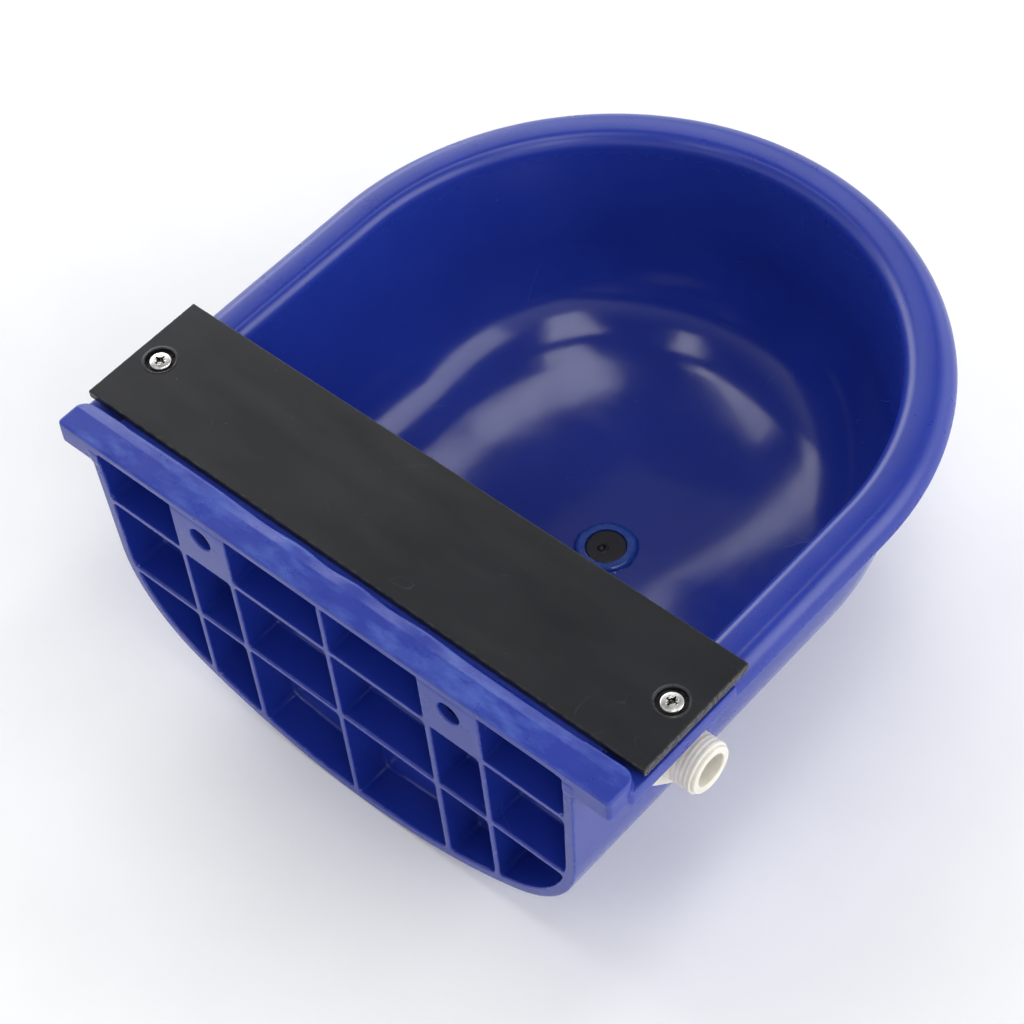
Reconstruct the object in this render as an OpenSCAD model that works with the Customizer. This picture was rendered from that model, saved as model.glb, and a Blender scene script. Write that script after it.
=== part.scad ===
// Wall-hung water trough for livestock, filled through a float valve under a flat cover.
// All sizes are in millimetres. The origin lies midway between the two wall-bolt holes,
// on the back face. +Z is up, the animal drinks from the -Y side, the inlet is on the -X side.

/* [Bowl] */
// Overall width across the rim
bowl_w = 264; // [256:1:272]
// Back face to the front of the rim
bowl_l = 281; // [272:1:290]
// Top of the rear deck to the underside of the bowl
bowl_h = 124.5; // [122:0.5:127]
// Wall thickness of the moulding
wall = 3.5; // [3:0.25:4]
// Draft of the side walls, degrees
draft = 3; // [2:0.5:4]
// Radius of the corner between side wall and floor
corner_r = 55; // [50:1:60]
// Radius of the gently curved floor
floor_r = 192; // [185:1:200]

/* [Rim] */
// Drop of the rim below the rear deck
rim_drop = 5.5; // [5:0.5:6.5]
// Outer rounding of the rolled lip
lip_r = 8.5; // [7.5:0.5:9]
// Inner rounding of the lip
lip_in_r = 5; // [4:0.5:6]
// Height of the lip from its crest to the edge of its skirt
lip_h = 9; // [8.5:0.5:10]

/* [Back panel] */
// Depth of the rear deck, and of the ribbed recess under it
deck_l = 15.5; // [14:0.5:17]
// Height of the ears at the ends of the deck
ear_h = 10.8; // [9:0.1:12]
// Thickness of the ribs
rib_t = 2.5; // [2:0.25:3]
// Spacing of the two wall-bolt holes
hole_pitch = 120; // [118:1:122]
// Diameter of the wall-bolt holes
hole_d = 10; // [8:0.5:11]
// Centre of the wall-bolt holes below the deck
hole_drop = 13.5; // [13:0.5:14.5]

/* [Cover] */
// Width of the cover plate
cover_w = 265.6; // [262:0.1:268]
// Depth of the cover plate, front to back
cover_l = 54.6; // [53:0.1:56]
// Thickness of the cover plate
cover_t = 3.5; // [3:0.1:3.5]
// Spacing of the two cover screws
screw_pitch = 244.6; // [243:0.1:246]

/* [Drain] */
// Diameter of the drain hole
drain_d = 16.6; // [15:0.1:17]
// Distance of the drain from the back face
drain_y = 146; // [142:1:150]

/* [Float valve] */
// Outside diameter of the inlet thread
thread_d = 20.8; // [20.6:0.05:20.95]
// Bore of the inlet
inlet_d = 12.5; // [11:0.5:13]
// Width across flats of the lock nut
nut_af = 28; // [26:1:28]
// Height of the finger that moves the plunger, from the pivot
finger_l = 16; // [15.5:0.5:16.5]
// Swing of the float lever from open to shut, degrees
swing = 22; // [18:1:23]
// Angle of the float arm below level when the valve is shut, degrees
shut_angle = 4; // [3:1:6]
// Pivot to the middle of the float
arm_l = 86; // [82:1:88]
// Length of the float
float_l = 60; // [54:1:62]
// Width of the float
float_w = 40; // [36:1:41]
// Height of the float
float_h = 30; // [26:1:30]

/* [Hidden] */
$fn = 96;

blue = [0.16, 0.23, 0.60];
black = [0.17, 0.17, 0.18];
steel = [0.75, 0.75, 0.76];
nylon = [0.91, 0.89, 0.83];
rubber = [0.09, 0.09, 0.10];
brass = [0.72, 0.58, 0.28];
white = [0.90, 0.91, 0.92];

over = 1; // how far cutting tools run past a face

// ---- bowl sizes, with z = 0 at the top of the deck ----
rim_z = -rim_drop;
rim_r = bowl_w / 2;
dome_y = rim_r - bowl_l;
skirt_z = rim_z - lip_h;
lip_t = 3.5;
side_top = rim_r - 16; // outside of the side wall at rim height
floor_c = floor_r - bowl_h; // height of the centre of the floor arc
deck_t = 4;
ledge_w = rim_r + 1; // the seat of the cover stands 1 mm proud of the rim
ledge_l = 50;
ledge_drop = 12;
ear_r = 6;
back_wall_y = -deck_l - wall;

// Centre of the corner arc: it touches the drafted side and, from inside, the floor arc
side_k = tan(draft);
side_a = side_top - rim_z * side_k - corner_r / cos(draft);
quad_b = side_a * side_k - floor_c;
quad_c = side_a * side_a + floor_c * floor_c - pow(floor_r - corner_r, 2);
corner_z = (-quad_b - sqrt(quad_b * quad_b - (1 + side_k * side_k) * quad_c))
    / (1 + side_k * side_k);
corner_x = side_a + side_k * corner_z;

rib_x = [-72.7, -47.7, 0, 47.7, 72.7];
rib_z = [-29.8, -69.1];

// ---- cover, screws, drain ----
cover_y = -17.2;
cover_z = 0.6; // top face of the cover
boss_r = 6.5;
boss_drop = 10.5;
screw_y = -44;
screw_r = 2;
screw_l = 9; // below the head
head_r = 4.25;
head_h = 2.4;
cross_l = 4.6; // cross recess: length, width and depth of its slots
cross_w = 1;
cross_h = 1.4;
sink_r = 5.8;
sink_h = 2;
bead_r = 12.5;
bead_h = 2.2;
fit_gap = 0.05; // around the stopper and the pivot pin
plug_sink = 0.8; // top of the stopper below the top of the bead
flange_r = 12;
flange_h = 2.2;
flange_gap = 0.2;
recess_h = 2.6;

// ---- float valve, with x along the barrel ----
valve_y = -44.5;
valve_z = -27;
stem_x = -138; // open end of the inlet
lead_l = 1.6; // plain end ahead of the thread
lead_r = thread_d / 2 - 1;
grip_r = 9.9; // pitch radius of the thread, where the lock nut grips it
pad_out_x = -(side_top + 0.5); // flat pads on both faces of the side wall
pad_in_x = -110.5;
pad_r = 17;
nut_h = 8;
nut_turn = 15;
nut_x = pad_out_x - nut_h;
gasket_t = 2;
gasket_r = 14.5;
shoulder_x = pad_in_x + gasket_t;
shoulder_t = 4;
shoulder_r = 14;
barrel_x = shoulder_x + shoulder_t;
barrel_end = -58;
barrel_r = 10;
bore_r = 7;
cap_l = 7; // length of barrel inside the cap
cap_t = 2;
vent_r = 1.5;
plunger_r = bore_r - 0.06;
stop_gap = 0.3; // between the plunger and the cap, which stops the float's fall
jet_l = 5;
jet_bore_r = 2;
nose_l = 2;
nose_r = 3.5;
half_swing = swing / 2;
travel = 2 * finger_l * sin(half_swing);
seat_gap = 0.3; // left between the seal and the seat with the valve shut
seat_x = barrel_x + jet_l + nose_l;
seal_x = seat_x + seat_gap + travel;
seal_t = 3;
seal_r = 5.5;
spout_x = seat_x + 3;
spout_l = 19;
spout_r = 6.5;
spout_in_r = 4.5;

// ---- lever, arm and float, with x along the arm ----
pivot_x = -76;
pivot_z = -finger_l; // below the barrel axis
pin_r = 1.5;
pin_over = 2; // pin end past the lug
pin_head_r = 2.8;
pin_head_h = 1.2;
clip_r = 3.4;
clip_t = 0.8;
clip_slot = 1.8;
lug_y = 3.5; // inner face of each pivot lug
lug_t = 3;
lug_r = 5;
lever_gap = 0.3; // hub to lug, each side
hub_r = 4.5;
finger_t = 3;
tip_r = 2.2;
tip_gap = 0.3;
slot_x = pivot_x + travel / 2;
slot_w = 5.8; // across the finger, in barrel and plunger
neck_w = 7.6; // plunger slot where the finger leans
barrel_slot_l = 8.8;
web_w = 5.2;
open_angle = shut_angle + swing;
socket_x = 7;
socket_l = 24;
socket_r = 4.4;
arm_x = 10; // inner end of the arm, in the socket
arm_r = 2.5;
arm_drop = 6; // float seam below the arm's axis
nut5_af = 8;
nut5_h = 4;
float_t = 1.6;
float_r = 8;
seam_w = 1.2;
boss_l = 16;
float_boss_r = 5;
float_x = arm_l - float_l / 2; // near end of the float along the arm
float_boss_x = float_x - 6;
arm_end = float_x + 9;

function arc(c, r, a0, a1, n) =
    [for (i = [0:n]) let (a = a0 + (a1 - a0) * i / n) c + r * [cos(a), sin(a)]];

// Half of the U-shaped section, inset from the outside by t, from x = 0 outwards and down
function half_section(t, top) =
    let (turn = atan2(corner_z - floor_c, corner_x))
    concat([[0, top], [side_a + (corner_r - t) / cos(draft) + side_k * top, top]],
           arc([corner_x, corner_z], corner_r - t, -draft, turn, 14),
           arc([0, floor_c], floor_r - t, turn - 2, -90, 10));

// Section of the rolled lip, x measured from the middle of the bowl
lip_c = [rim_r - lip_r, rim_z - lip_r];
lip_in_c = [side_top - wall + lip_in_r + 0.2, rim_z - lip_in_r];
lip_section = concat(
    [[lip_in_c.x - lip_in_r, rim_z - 2 * lip_in_r]],
    arc(lip_in_c, lip_in_r, 180, 90, 6),
    arc(lip_c, lip_r, 90, 0, 9),
    [[rim_r, skirt_z], [rim_r - lip_t, skirt_z]],
    arc(lip_c, lip_r - lip_t, 0, 90, 6),
    [[side_top - 1, rim_z - lip_t], [side_top - 1, rim_z - 2 * lip_in_r]]);

module at_deck() translate([0, 0, hole_drop]) children();
module at_valve() at_deck() translate([0, valve_y, valve_z]) children();
module at_lever() at_valve() translate([pivot_x, 0, pivot_z]) rotate([0, open_angle, 0]) children();
module both_sides() { children(); mirror([1, 0, 0]) children(); }
module block(x, y, z) translate([x[0], y[0], z[0]]) cube([x[1] - x[0], y[1] - y[0], z[1] - z[0]]);
module xrod(r, x0, x1) translate([x0, 0, 0]) rotate([0, 90, 0]) cylinder(r = r, h = x1 - x0);
module yrod(r, y0, y1) translate([0, y0, 0]) rotate([-90, 0, 0]) cylinder(r = r, h = y1 - y0);
module hex(af, h) cylinder(d = af / cos(30), h = h, $fn = 6);

// U section run forward from y0, then swept round the front of the bowl
module trough_form(t, y0, top) {
    half = half_section(t, top);
    translate([0, y0, 0]) rotate([90, 0, 0]) linear_extrude(y0 - dome_y) {
        polygon(half);
        mirror([1, 0]) polygon(half);
    }
    translate([0, dome_y, 0]) rotate([0, 0, 180]) rotate_extrude(angle = 180) polygon(half);
}

module lip() {
    both_sides() translate([0, -deck_l - ledge_l, 0]) rotate([90, 0, 0])
        linear_extrude(-deck_l - ledge_l - dome_y) polygon(lip_section);
    translate([0, dome_y, 0]) rotate([0, 0, 180]) rotate_extrude(angle = 180) polygon(lip_section);
}

// Flat strip along the back, with deeper ears beyond the side walls
module deck() {
    both_sides() {
        block([-over, rim_r - ear_r], [-deck_l, 0], [-deck_t, 0]);
        block([side_top - 2 * wall, rim_r - ear_r], [-deck_l, 0], [-ear_h, 0]);
        block([rim_r - ear_r - over, rim_r], [-deck_l + ear_r, 0], [-ear_h, 0]);
        translate([rim_r - ear_r, -deck_l + ear_r, -ear_h]) cylinder(r = ear_r, h = ear_h);
    }
}

// Seat of the cover on each side: a squared ledge with a skirt and a screw boss
module ledge() both_sides() {
    difference() {
        block([side_top - wall, ledge_w], [-deck_l - ledge_l, -deck_l + ear_r],
              [-ledge_drop, rim_z]);
        block([side_top - over / 2, ledge_w - lip_t], [-deck_l - ledge_l - over, -deck_l - over],
              [-ledge_drop - over, rim_z - lip_t]);
    }
    translate([screw_pitch / 2, screw_y, -boss_drop])
        cylinder(r = boss_r, h = boss_drop + cover_z - cover_t);
}

// Cells between the ribs, open at the back; the two bolt plates are left standing
module back_cells() difference() {
    half = half_section(wall + 1, -deck_t);
    translate([0, over, 0]) rotate([90, 0, 0]) linear_extrude(deck_l + over) {
        polygon(half);
        mirror([1, 0]) polygon(half);
    }
    for (x = rib_x) block([x - rib_t / 2, x + rib_t / 2], [-deck_l - over, 2 * over], [-bowl_h, over]);
    for (z = rib_z) block([-rim_r, rim_r], [-deck_l - over, 2 * over], [z - rib_t / 2, z + rib_t / 2]);
    both_sides() block([rib_x[3], rib_x[4]], [-deck_l - over, 2 * over], [rib_z[0], over]);
}

// Room inside the bowl for the head of each wall bolt, behind a plate of one wall's thickness
module bolt_pockets() both_sides() {
    block([rib_x[3] + rib_t / 2, rib_x[4] - rib_t / 2], [back_wall_y - over, -wall],
          [rib_z[0] + rib_t / 2, -deck_t]);
    translate([hole_pitch / 2, 0, -hole_drop]) yrod(hole_d / 2, -wall - over, over);
}

module bowl() color(blue) at_deck() difference() {
    union() {
        difference() {
            union() {
                trough_form(0, 0, rim_z - lip_t / 2);
                block([over - side_top, side_top - over], [back_wall_y, 0], [-ear_h, cover_z - cover_t]);
                lip();
                deck();
                ledge();
                translate([0, valve_y, valve_z]) xrod(pad_r, pad_out_x, wall - side_top);
            }
            trough_form(wall, back_wall_y, over);
            back_cells();
            bolt_pockets();
        }
        intersection() {
            translate([0, valve_y, valve_z]) xrod(pad_r, wall / 2 - side_top, pad_in_x);
            block([-rim_r, 0], [-deck_l - ledge_l, back_wall_y], [-bowl_h, rim_z - lip_t]);
        }
        translate([0, -drain_y, wall - bowl_h]) drain_bead();
    }
    translate([0, valve_y, valve_z]) xrod(thread_d / 2 + 0.2, stem_x, pad_in_x + over);
    translate([0, -drain_y, -bowl_h]) {
        translate([0, 0, -over]) cylinder(d = drain_d, h = bowl_h);
        translate([0, 0, -over]) cylinder(r = flange_r + 0.5, h = recess_h + over);
        translate([0, flange_r, -over]) cylinder(r = flange_r / 2, h = recess_h + over);
    }
    both_sides() translate([screw_pitch / 2, screw_y, -boss_drop - over])
        cylinder(r = screw_r, h = boss_drop + over);
}

// Raised ring round the drain, sunk a little into the floor so that it meets it all round
module drain_bead() rotate_extrude() {
    translate([drain_d / 2 - over, -wall / 2]) square([bead_r - drain_d / 2 + over, wall / 2 + over / 2]);
    polygon(concat([[drain_d / 2 - over, 0], [bead_r, 0]],
                   arc([bead_r - bead_h, 0], bead_h, 0, 90, 6), [[drain_d / 2 - over, bead_h]]));
}

module cover_plate() color(black) at_deck() difference() {
    block([-cover_w / 2, cover_w / 2], [cover_y - cover_l, cover_y], [cover_z - cover_t, cover_z]);
    both_sides() translate([screw_pitch / 2, screw_y, cover_z]) {
        translate([0, 0, -cover_t - over]) cylinder(r = screw_r + 0.3, h = cover_t + over);
        translate([0, 0, -sink_h]) cylinder(r = sink_r, h = sink_h + over);
    }
}

module cover_screws() color(steel) at_deck() both_sides()
    translate([screw_pitch / 2, screw_y, cover_z - sink_h]) difference() {
        union() {
            rotate_extrude() polygon(concat(
                [[0, 0], [head_r, 0], [head_r, head_h / 2]],
                arc([head_r - head_h / 2, head_h / 2], head_h / 2, 15, 90, 5), [[0, head_h]]));
            translate([0, 0, -screw_l]) cylinder(r = screw_r, h = screw_l);
        }
        for (a = [0, 90]) rotate([0, 0, a]) translate([-cross_l / 2, -cross_w / 2, head_h - cross_h])
            cube([cross_l, cross_w, cross_h + over]);
    }

// Rubber stopper pushed up from below; its flange lies in a recess of the underside
module drain_plug() color(rubber) at_deck() translate([0, -drain_y, -bowl_h]) {
    translate([0, 0, recess_h - flange_h - flange_gap]) cylinder(r = flange_r, h = flange_h);
    cylinder(r = drain_d / 2 - fit_gap, h = wall + bead_h - plug_sink);
}

// The thread has its crest radius where a hose screws on, and its pitch radius under the nut
module valve_body() color(nylon) at_valve() difference() {
    union() {
        xrod(lead_r, stem_x, stem_x + lead_l + over);
        xrod(thread_d / 2, stem_x + lead_l, nut_x);
        xrod(grip_r, nut_x - over, shoulder_x + over);
        xrod(shoulder_r, shoulder_x, barrel_x);
        xrod(barrel_r, barrel_x - over, barrel_end);
        both_lugs() {
            translate([-lug_r, -lug_t / 2, pivot_z]) cube([2 * lug_r, lug_t, finger_l - bore_r]);
            translate([0, 0, pivot_z]) yrod(lug_r, -lug_t / 2, lug_t / 2);
        }
        translate([spout_x, 0, -spout_l]) cylinder(r = spout_r, h = spout_l);
    }
    xrod(inlet_d / 2, stem_x - over, barrel_x + over);
    xrod(bore_r, barrel_x, barrel_end + over);
    translate([spout_x, 0, -spout_l - over]) cylinder(r = spout_in_r, h = spout_l + over);
    translate([pivot_x, 0, 0])
        block([-barrel_slot_l / 2, barrel_slot_l / 2], [-slot_w / 2, slot_w / 2], [-barrel_r - over, 0]);
    translate([pivot_x, 0, pivot_z]) yrod(pin_r, -barrel_r, barrel_r);
}

module both_lugs() for (s = [-1, 1]) translate([pivot_x, s * (lug_y + lug_t / 2), 0]) children();

module lock_nut() color(nylon) at_valve() translate([nut_x, 0, 0]) difference() {
    rotate([nut_turn, 0, 0]) rotate([0, 90, 0]) hex(nut_af, nut_h);
    xrod(grip_r, -over, nut_h + over);
}

module wall_gasket() color(rubber) at_valve() difference() {
    xrod(gasket_r, pad_in_x, shoulder_x);
    xrod(grip_r, pad_in_x - over, shoulder_x + over);
}

module jet() color(brass) at_valve() difference() {
    union() {
        xrod(bore_r, barrel_x, barrel_x + jet_l);
        xrod(nose_r, barrel_x, seat_x);
    }
    xrod(jet_bore_r, barrel_x - over, seat_x + over);
}

// Slides on the barrel axis; the slot across it takes the finger of the lever
module plunger() color(white) at_valve() difference() {
    xrod(plunger_r, seal_x + over, barrel_end - stop_gap);
    xrod(seal_r, seal_x, seal_x + seal_t);
    translate([slot_x, 0, 0]) {
        block([-tip_r - tip_gap, tip_r + tip_gap], [-slot_w / 2, slot_w / 2],
              [-bore_r - over, tip_r + over + tip_gap]);
        block([-neck_w / 2, neck_w / 2], [-slot_w / 2, slot_w / 2], [-bore_r - over, -finger_t]);
    }
}

module seal_disc() color(rubber) at_valve() xrod(seal_r, seal_x, seal_x + seal_t);

module barrel_cap() color(nylon) at_valve() difference() {
    xrod(barrel_r + cap_t, barrel_end - cap_l, barrel_end + cap_t);
    xrod(barrel_r, barrel_end - cap_l - over, barrel_end);
    xrod(vent_r, barrel_end - over, barrel_end + cap_t + over);
}

// Hub on the pivot pin, a finger up into the plunger and a socket along the float arm
module float_lever() color(nylon) at_lever() difference() {
    union() {
        yrod(hub_r, lever_gap - lug_y, lug_y - lever_gap);
        rotate([0, half_swing - open_angle, 0]) {
            block([-finger_t / 2, finger_t / 2], [-tip_r, tip_r], [0, finger_l]);
            translate([0, 0, finger_l]) yrod(tip_r, -tip_r, tip_r);
        }
        block([0, socket_x + over], [-web_w / 2, web_w / 2], [-web_w / 2, web_w / 2]);
        xrod(socket_r, socket_x, socket_l);
    }
    yrod(pin_r + fit_gap, -lug_y, lug_y);
    xrod(arm_r, arm_x, socket_l + over);
}

module pivot_pin() color(steel) at_valve() translate([pivot_x, 0, pivot_z]) {
    yrod(pin_r, -lug_y - lug_t, lug_y + lug_t + pin_over);
    yrod(pin_head_r, -lug_y - lug_t - pin_head_h, -lug_y - lug_t);
}

module pin_clip() color(steel) at_valve() translate([pivot_x, lug_y + lug_t, pivot_z]) difference() {
    yrod(clip_r, 0, clip_t);
    yrod(pin_r, -over, clip_t + over);
    block([-clip_slot / 2, clip_slot / 2], [-over, clip_t + over], [-clip_r - over, 0]);
}

module float_arm() color(steel) at_lever() xrod(arm_r, arm_x, arm_end);

module arm_nuts() color(steel) at_lever()
    for (x = [socket_l, float_boss_x - nut5_h]) translate([x, 0, 0]) difference() {
        rotate([0, 90, 0]) hex(nut5_af, nut5_h);
        xrod(arm_r, -over, nut5_h + over);
    }

// Section of one half of the float, closed at the top and open at the seam
float_section = let (w = float_w / 2, h = float_h / 2, r = float_r, t = float_t) concat(
    [[0, h]], arc([w - r, h - r], r, 90, 0, 8),
    [[w, seam_w], [w + seam_w, seam_w], [w + seam_w, 0], [w - t, 0]],
    arc([w - r, h - r], r - t, 0, 90, 8), [[0, h - t]]);

module float_half() {
    run = (float_l - float_w) / 2;
    for (s = [0, 180]) rotate([0, 0, s]) translate([run, 0, 0]) rotate([0, 0, -90])
        rotate_extrude(angle = 180) polygon(float_section);
    rotate([90, 0, 90]) translate([0, 0, -run]) linear_extrude(2 * run) {
        polygon(float_section);
        mirror([1, 0]) polygon(float_section);
    }
}

module float_upper() color(white) at_lever() difference() {
    union() {
        translate([arm_l, 0, -arm_drop]) float_half();
        xrod(float_boss_r, float_boss_x, float_boss_x + boss_l);
    }
    xrod(arm_r, float_boss_x - over, arm_end);
}

module float_lower() color(white) at_lever()
    translate([arm_l, 0, -arm_drop]) mirror([0, 0, 1]) float_half();

bowl();
cover_plate();
cover_screws();
drain_plug();
valve_body();
lock_nut();
wall_gasket();
jet();
plunger();
seal_disc();
barrel_cap();
float_lever();
pivot_pin();
pin_clip();
float_arm();
arm_nuts();
float_upper();
float_lower();
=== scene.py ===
"""Looks of the wall-hung water trough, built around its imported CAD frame."""

import math

import bpy
import numpy as np
from mathutils import Matrix, Vector


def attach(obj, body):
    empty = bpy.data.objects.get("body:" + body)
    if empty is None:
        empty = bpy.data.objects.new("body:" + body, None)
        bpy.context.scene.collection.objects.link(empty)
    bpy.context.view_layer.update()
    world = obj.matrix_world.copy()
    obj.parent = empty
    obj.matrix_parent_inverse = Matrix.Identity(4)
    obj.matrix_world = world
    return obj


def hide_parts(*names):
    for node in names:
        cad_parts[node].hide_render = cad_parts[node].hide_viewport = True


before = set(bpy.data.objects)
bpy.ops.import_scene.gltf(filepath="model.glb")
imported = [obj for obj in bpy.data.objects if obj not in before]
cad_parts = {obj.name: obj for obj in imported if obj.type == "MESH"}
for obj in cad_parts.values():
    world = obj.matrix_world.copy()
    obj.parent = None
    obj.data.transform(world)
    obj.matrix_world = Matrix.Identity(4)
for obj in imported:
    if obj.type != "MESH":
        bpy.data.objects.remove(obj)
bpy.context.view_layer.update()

MM = 0.001

# ---- Sizes of the moulding in millimetres, with z = 0 at the top of the deck ----
DECK_HEIGHT = 13.5  # deck top above the wall-bolt holes, where the frame has z = 0
RIM_R = 132.0
RIM_Z = -5.5
DOME_Y = -149.0
BOWL_H = 124.5
WALL = 3.5
DRAFT = math.radians(3)
CORNER_R = 55.0
FLOOR_R = 192.0
SIDE_TOP = RIM_R - 16
CREST_R = 120.5
CROWN = 0.012  # fall of the rim's top, in millimetres per square millimetre from its crest
LIP_R = 8.5
LIP_IN_R = 5.0
LIP_T = 3.5
SKIRT_Z = RIM_Z - 9
DECK_L = 15.5
DECK_T = 4.0
EAR_H = 10.8
EAR_R = 6.0
LEDGE_W = 133.0
LEDGE_FRONT = -65.5
LEDGE_DROP = 12.0
BACK_WALL_Y = -DECK_L - WALL
RIB_T = 2.5
RIB_X = (-72.7, -47.7, 0.0, 47.7, 72.7)
RIB_Z = (-29.8, -69.1)
BOLT_X = 60.0
BOLT_R = 5.0
SCREW_X = 122.3
SCREW_Y = -44.0
SCREW_R = 2.0
BOSS_R = 6.5
BOSS_DROP = 10.5
SEAT_Z = -2.9  # underside of the cover
COVER_TOP = 0.6
COVER_END = 132.8
COVER_FRONT = -71.8
COVER_BACK = -17.2
SINK_R = 5.8
SINK_Z = -1.4
SHEET_HOLE_R = 2.3
HEAD_R = 4.25
HEAD_H = 2.35
DOME_R = 20.0
SHANK_L = 9.0
SLOT_TURN = math.radians(34)
VALVE_Y = -44.5
VALVE_Z = -27.0
PAD_R = 17.0
PAD_OUT_X = -116.5
PAD_IN_X = -110.5
DRAIN_Y = -146.0
DRAIN_R = 8.3
BEAD_R = 12.5
BEAD_H = 2.2
FLANGE_R = 12.0
RECESS_H = 2.6
PLUG_TOP = WALL + BEAD_H - 0.8
MARK_X = 0.9
MARK_Y = 1.5
MARK_R = 2.0
STEM_X = -138.0
STEM_HOLE_R = 10.6
THREAD_R = 10.35
THREAD_DEPTH = 0.13
THREAD_PITCH = 1.814
GRIP_R = 9.9
LEAD_R = 9.4
LEAD_L = 1.6
BORE_R = 6.25
NUT_X = -124.5
NUT_AF = 28.0
NUT_BORE_R = 9.95
CHAMFER_R = 15.9
CHAMFER = math.radians(30)
NUT_PHASE = math.radians(15)


# ---- Distance fields: negative inside, in millimetres ----
def join(a, b, r):
    """Union of two forms, with a fillet of radius r where they meet."""
    return np.maximum(r, np.minimum(a, b)) - np.hypot(np.maximum(r - a, 0), np.maximum(r - b, 0))


def meet(a, b, r):
    """What two forms share, with an edge rounded to radius r."""
    return -join(-a, -b, r)


def cut(a, b, r):
    """Form a with form b taken away, the edge rounded to radius r."""
    return meet(a, -b, r)


def span(v, low, high):
    """Distance to the slab between low and high."""
    return np.maximum(low - v, v - high)


def section_constants():
    """Centres of the floor arc and of the corner arc that joins it to the drafted side."""
    k = math.tan(DRAFT)
    floor_c = FLOOR_R - BOWL_H
    side_a = SIDE_TOP - RIM_Z * k - CORNER_R / math.cos(DRAFT)
    b = side_a * k - floor_c
    c = side_a**2 + floor_c**2 - (FLOOR_R - CORNER_R) ** 2
    corner_z = (-b - math.sqrt(b * b - (1 + k * k) * c)) / (1 + k * k)
    return floor_c, side_a + k * corner_z, corner_z


FLOOR_C, CORNER_X, CORNER_Z = section_constants()
TURN = math.atan2(CORNER_Z - FLOOR_C, CORNER_X)


def tub_outside(rho, z):
    """Outside of the U section: drafted side, corner arc and shallow floor arc."""
    dx = rho - CORNER_X
    dz = z - CORNER_Z
    side = dx * math.cos(DRAFT) - dz * math.sin(DRAFT) - CORNER_R
    corner = np.hypot(dx, dz) - CORNER_R
    floor = np.hypot(rho, z - FLOOR_C) - FLOOR_R
    angle = np.arctan2(dz, dx)
    below = (angle < TURN) | (angle > math.pi / 2) & (z < CORNER_Z)
    return np.where(below, floor, np.where(angle < -DRAFT, corner, side))


def crowned(rho, y, z):
    """Height over the rim's top, which is slightly crowned in front of the cover."""
    share = np.clip((LEDGE_FRONT - y) / 5, 0, 1)
    return z - RIM_Z + CROWN * share * np.clip(rho - CREST_R, -9, 12) ** 2


def lip_form(rho, y, z, outer):
    """Rolled lip with its skirt, hollow underneath."""
    lip = meet(rho - RIM_R, crowned(rho, y, z), LIP_R)
    lip = meet(lip, SKIRT_Z - z, 0.9)
    hollow = meet(rho - RIM_R + LIP_T, z - RIM_Z + LIP_T, LIP_R - LIP_T)
    lip = cut(lip, meet(hollow, -outer, 2.0), 0.6)
    return meet(lip, y - LEDGE_FRONT, 0.6)


def ledge_form(ax, y, z):
    """Squared seat of the cover on each side, hollow underneath, with its screw boss."""
    ledge = meet(span(ax, SIDE_TOP - WALL, LEDGE_W), span(y, LEDGE_FRONT, -DECK_L + EAR_R), 1.6)
    ledge = meet(ledge, span(z, -LEDGE_DROP, RIM_Z), 0.9)
    hollow = meet(span(ax, SIDE_TOP - 0.5, LEDGE_W - LIP_T), span(y, LEDGE_FRONT - 1, -DECK_L - 1), 1.0)
    ledge = cut(ledge, meet(hollow, z - RIM_Z + LIP_T, 1.0), 0.5)
    boss = meet(np.hypot(ax - SCREW_X, y - SCREW_Y) - BOSS_R, span(z, -BOSS_DROP, SEAT_Z), 0.5)
    return join(ledge, boss, 1.0)


def deck_form(ax, y, z):
    """Strip along the back, its deeper ears with a rounded front corner, and the rear wall's top."""
    corner = np.hypot(np.maximum(ax - RIM_R + EAR_R, 0), np.maximum(-DECK_L + EAR_R - y, 0)) - EAR_R
    plan = meet(np.maximum(corner, ax - RIM_R), y, 2.0)
    strip = meet(meet(-DECK_L - y, span(z, -DECK_T, 0), 1.8), plan, 0.9)
    ear = meet(np.maximum(plan, np.maximum(-DECK_L - y, SIDE_TOP - 2 * WALL - ax)), span(z, -EAR_H, 0), 1.3)
    wall_top = meet(ax - SIDE_TOP + 1, meet(span(y, BACK_WALL_Y, -1), span(z, -EAR_H, SEAT_Z), 0.8), 0.8)
    return join(np.minimum(strip, ear), wall_top, 0.8)


def cell_form(x, y, z, outer):
    """Open cells between the ribs of the back panel."""
    beside = RIB_T / 2 - np.min([np.abs(x - c) for c in RIB_X], axis=0)
    level = RIB_T / 2 - np.min([np.abs(z - c) for c in RIB_Z], axis=0)
    cell = meet(beside, level, 1.4)
    cell = meet(cell, outer + WALL + 1, 2.2)
    cell = meet(cell, z + DECK_T, 1.2)
    plate = np.maximum(span(np.abs(x), RIB_X[3], RIB_X[4]), RIB_Z[0] - z)
    cell = cut(cell, plate, 1.2)
    return meet(cell, -DECK_L - y, 1.2)


def bolt_form(ax, y, z):
    """Pocket for the head of each wall bolt, with the hole through its plate."""
    half = (RIB_X[4] - RIB_X[3] - RIB_T) / 2
    across = np.abs(ax - (RIB_X[3] + RIB_X[4]) / 2) - half
    pocket = meet(across, span(z, RIB_Z[0] + RIB_T / 2, -DECK_T), 1.4)
    pocket = meet(pocket, y + WALL, 1.2)
    hole = np.hypot(ax - BOLT_X, z + DECK_HEIGHT) - BOLT_R
    return np.maximum(join(pocket, hole, 0.5), BACK_WALL_Y - 1 - y)


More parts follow.
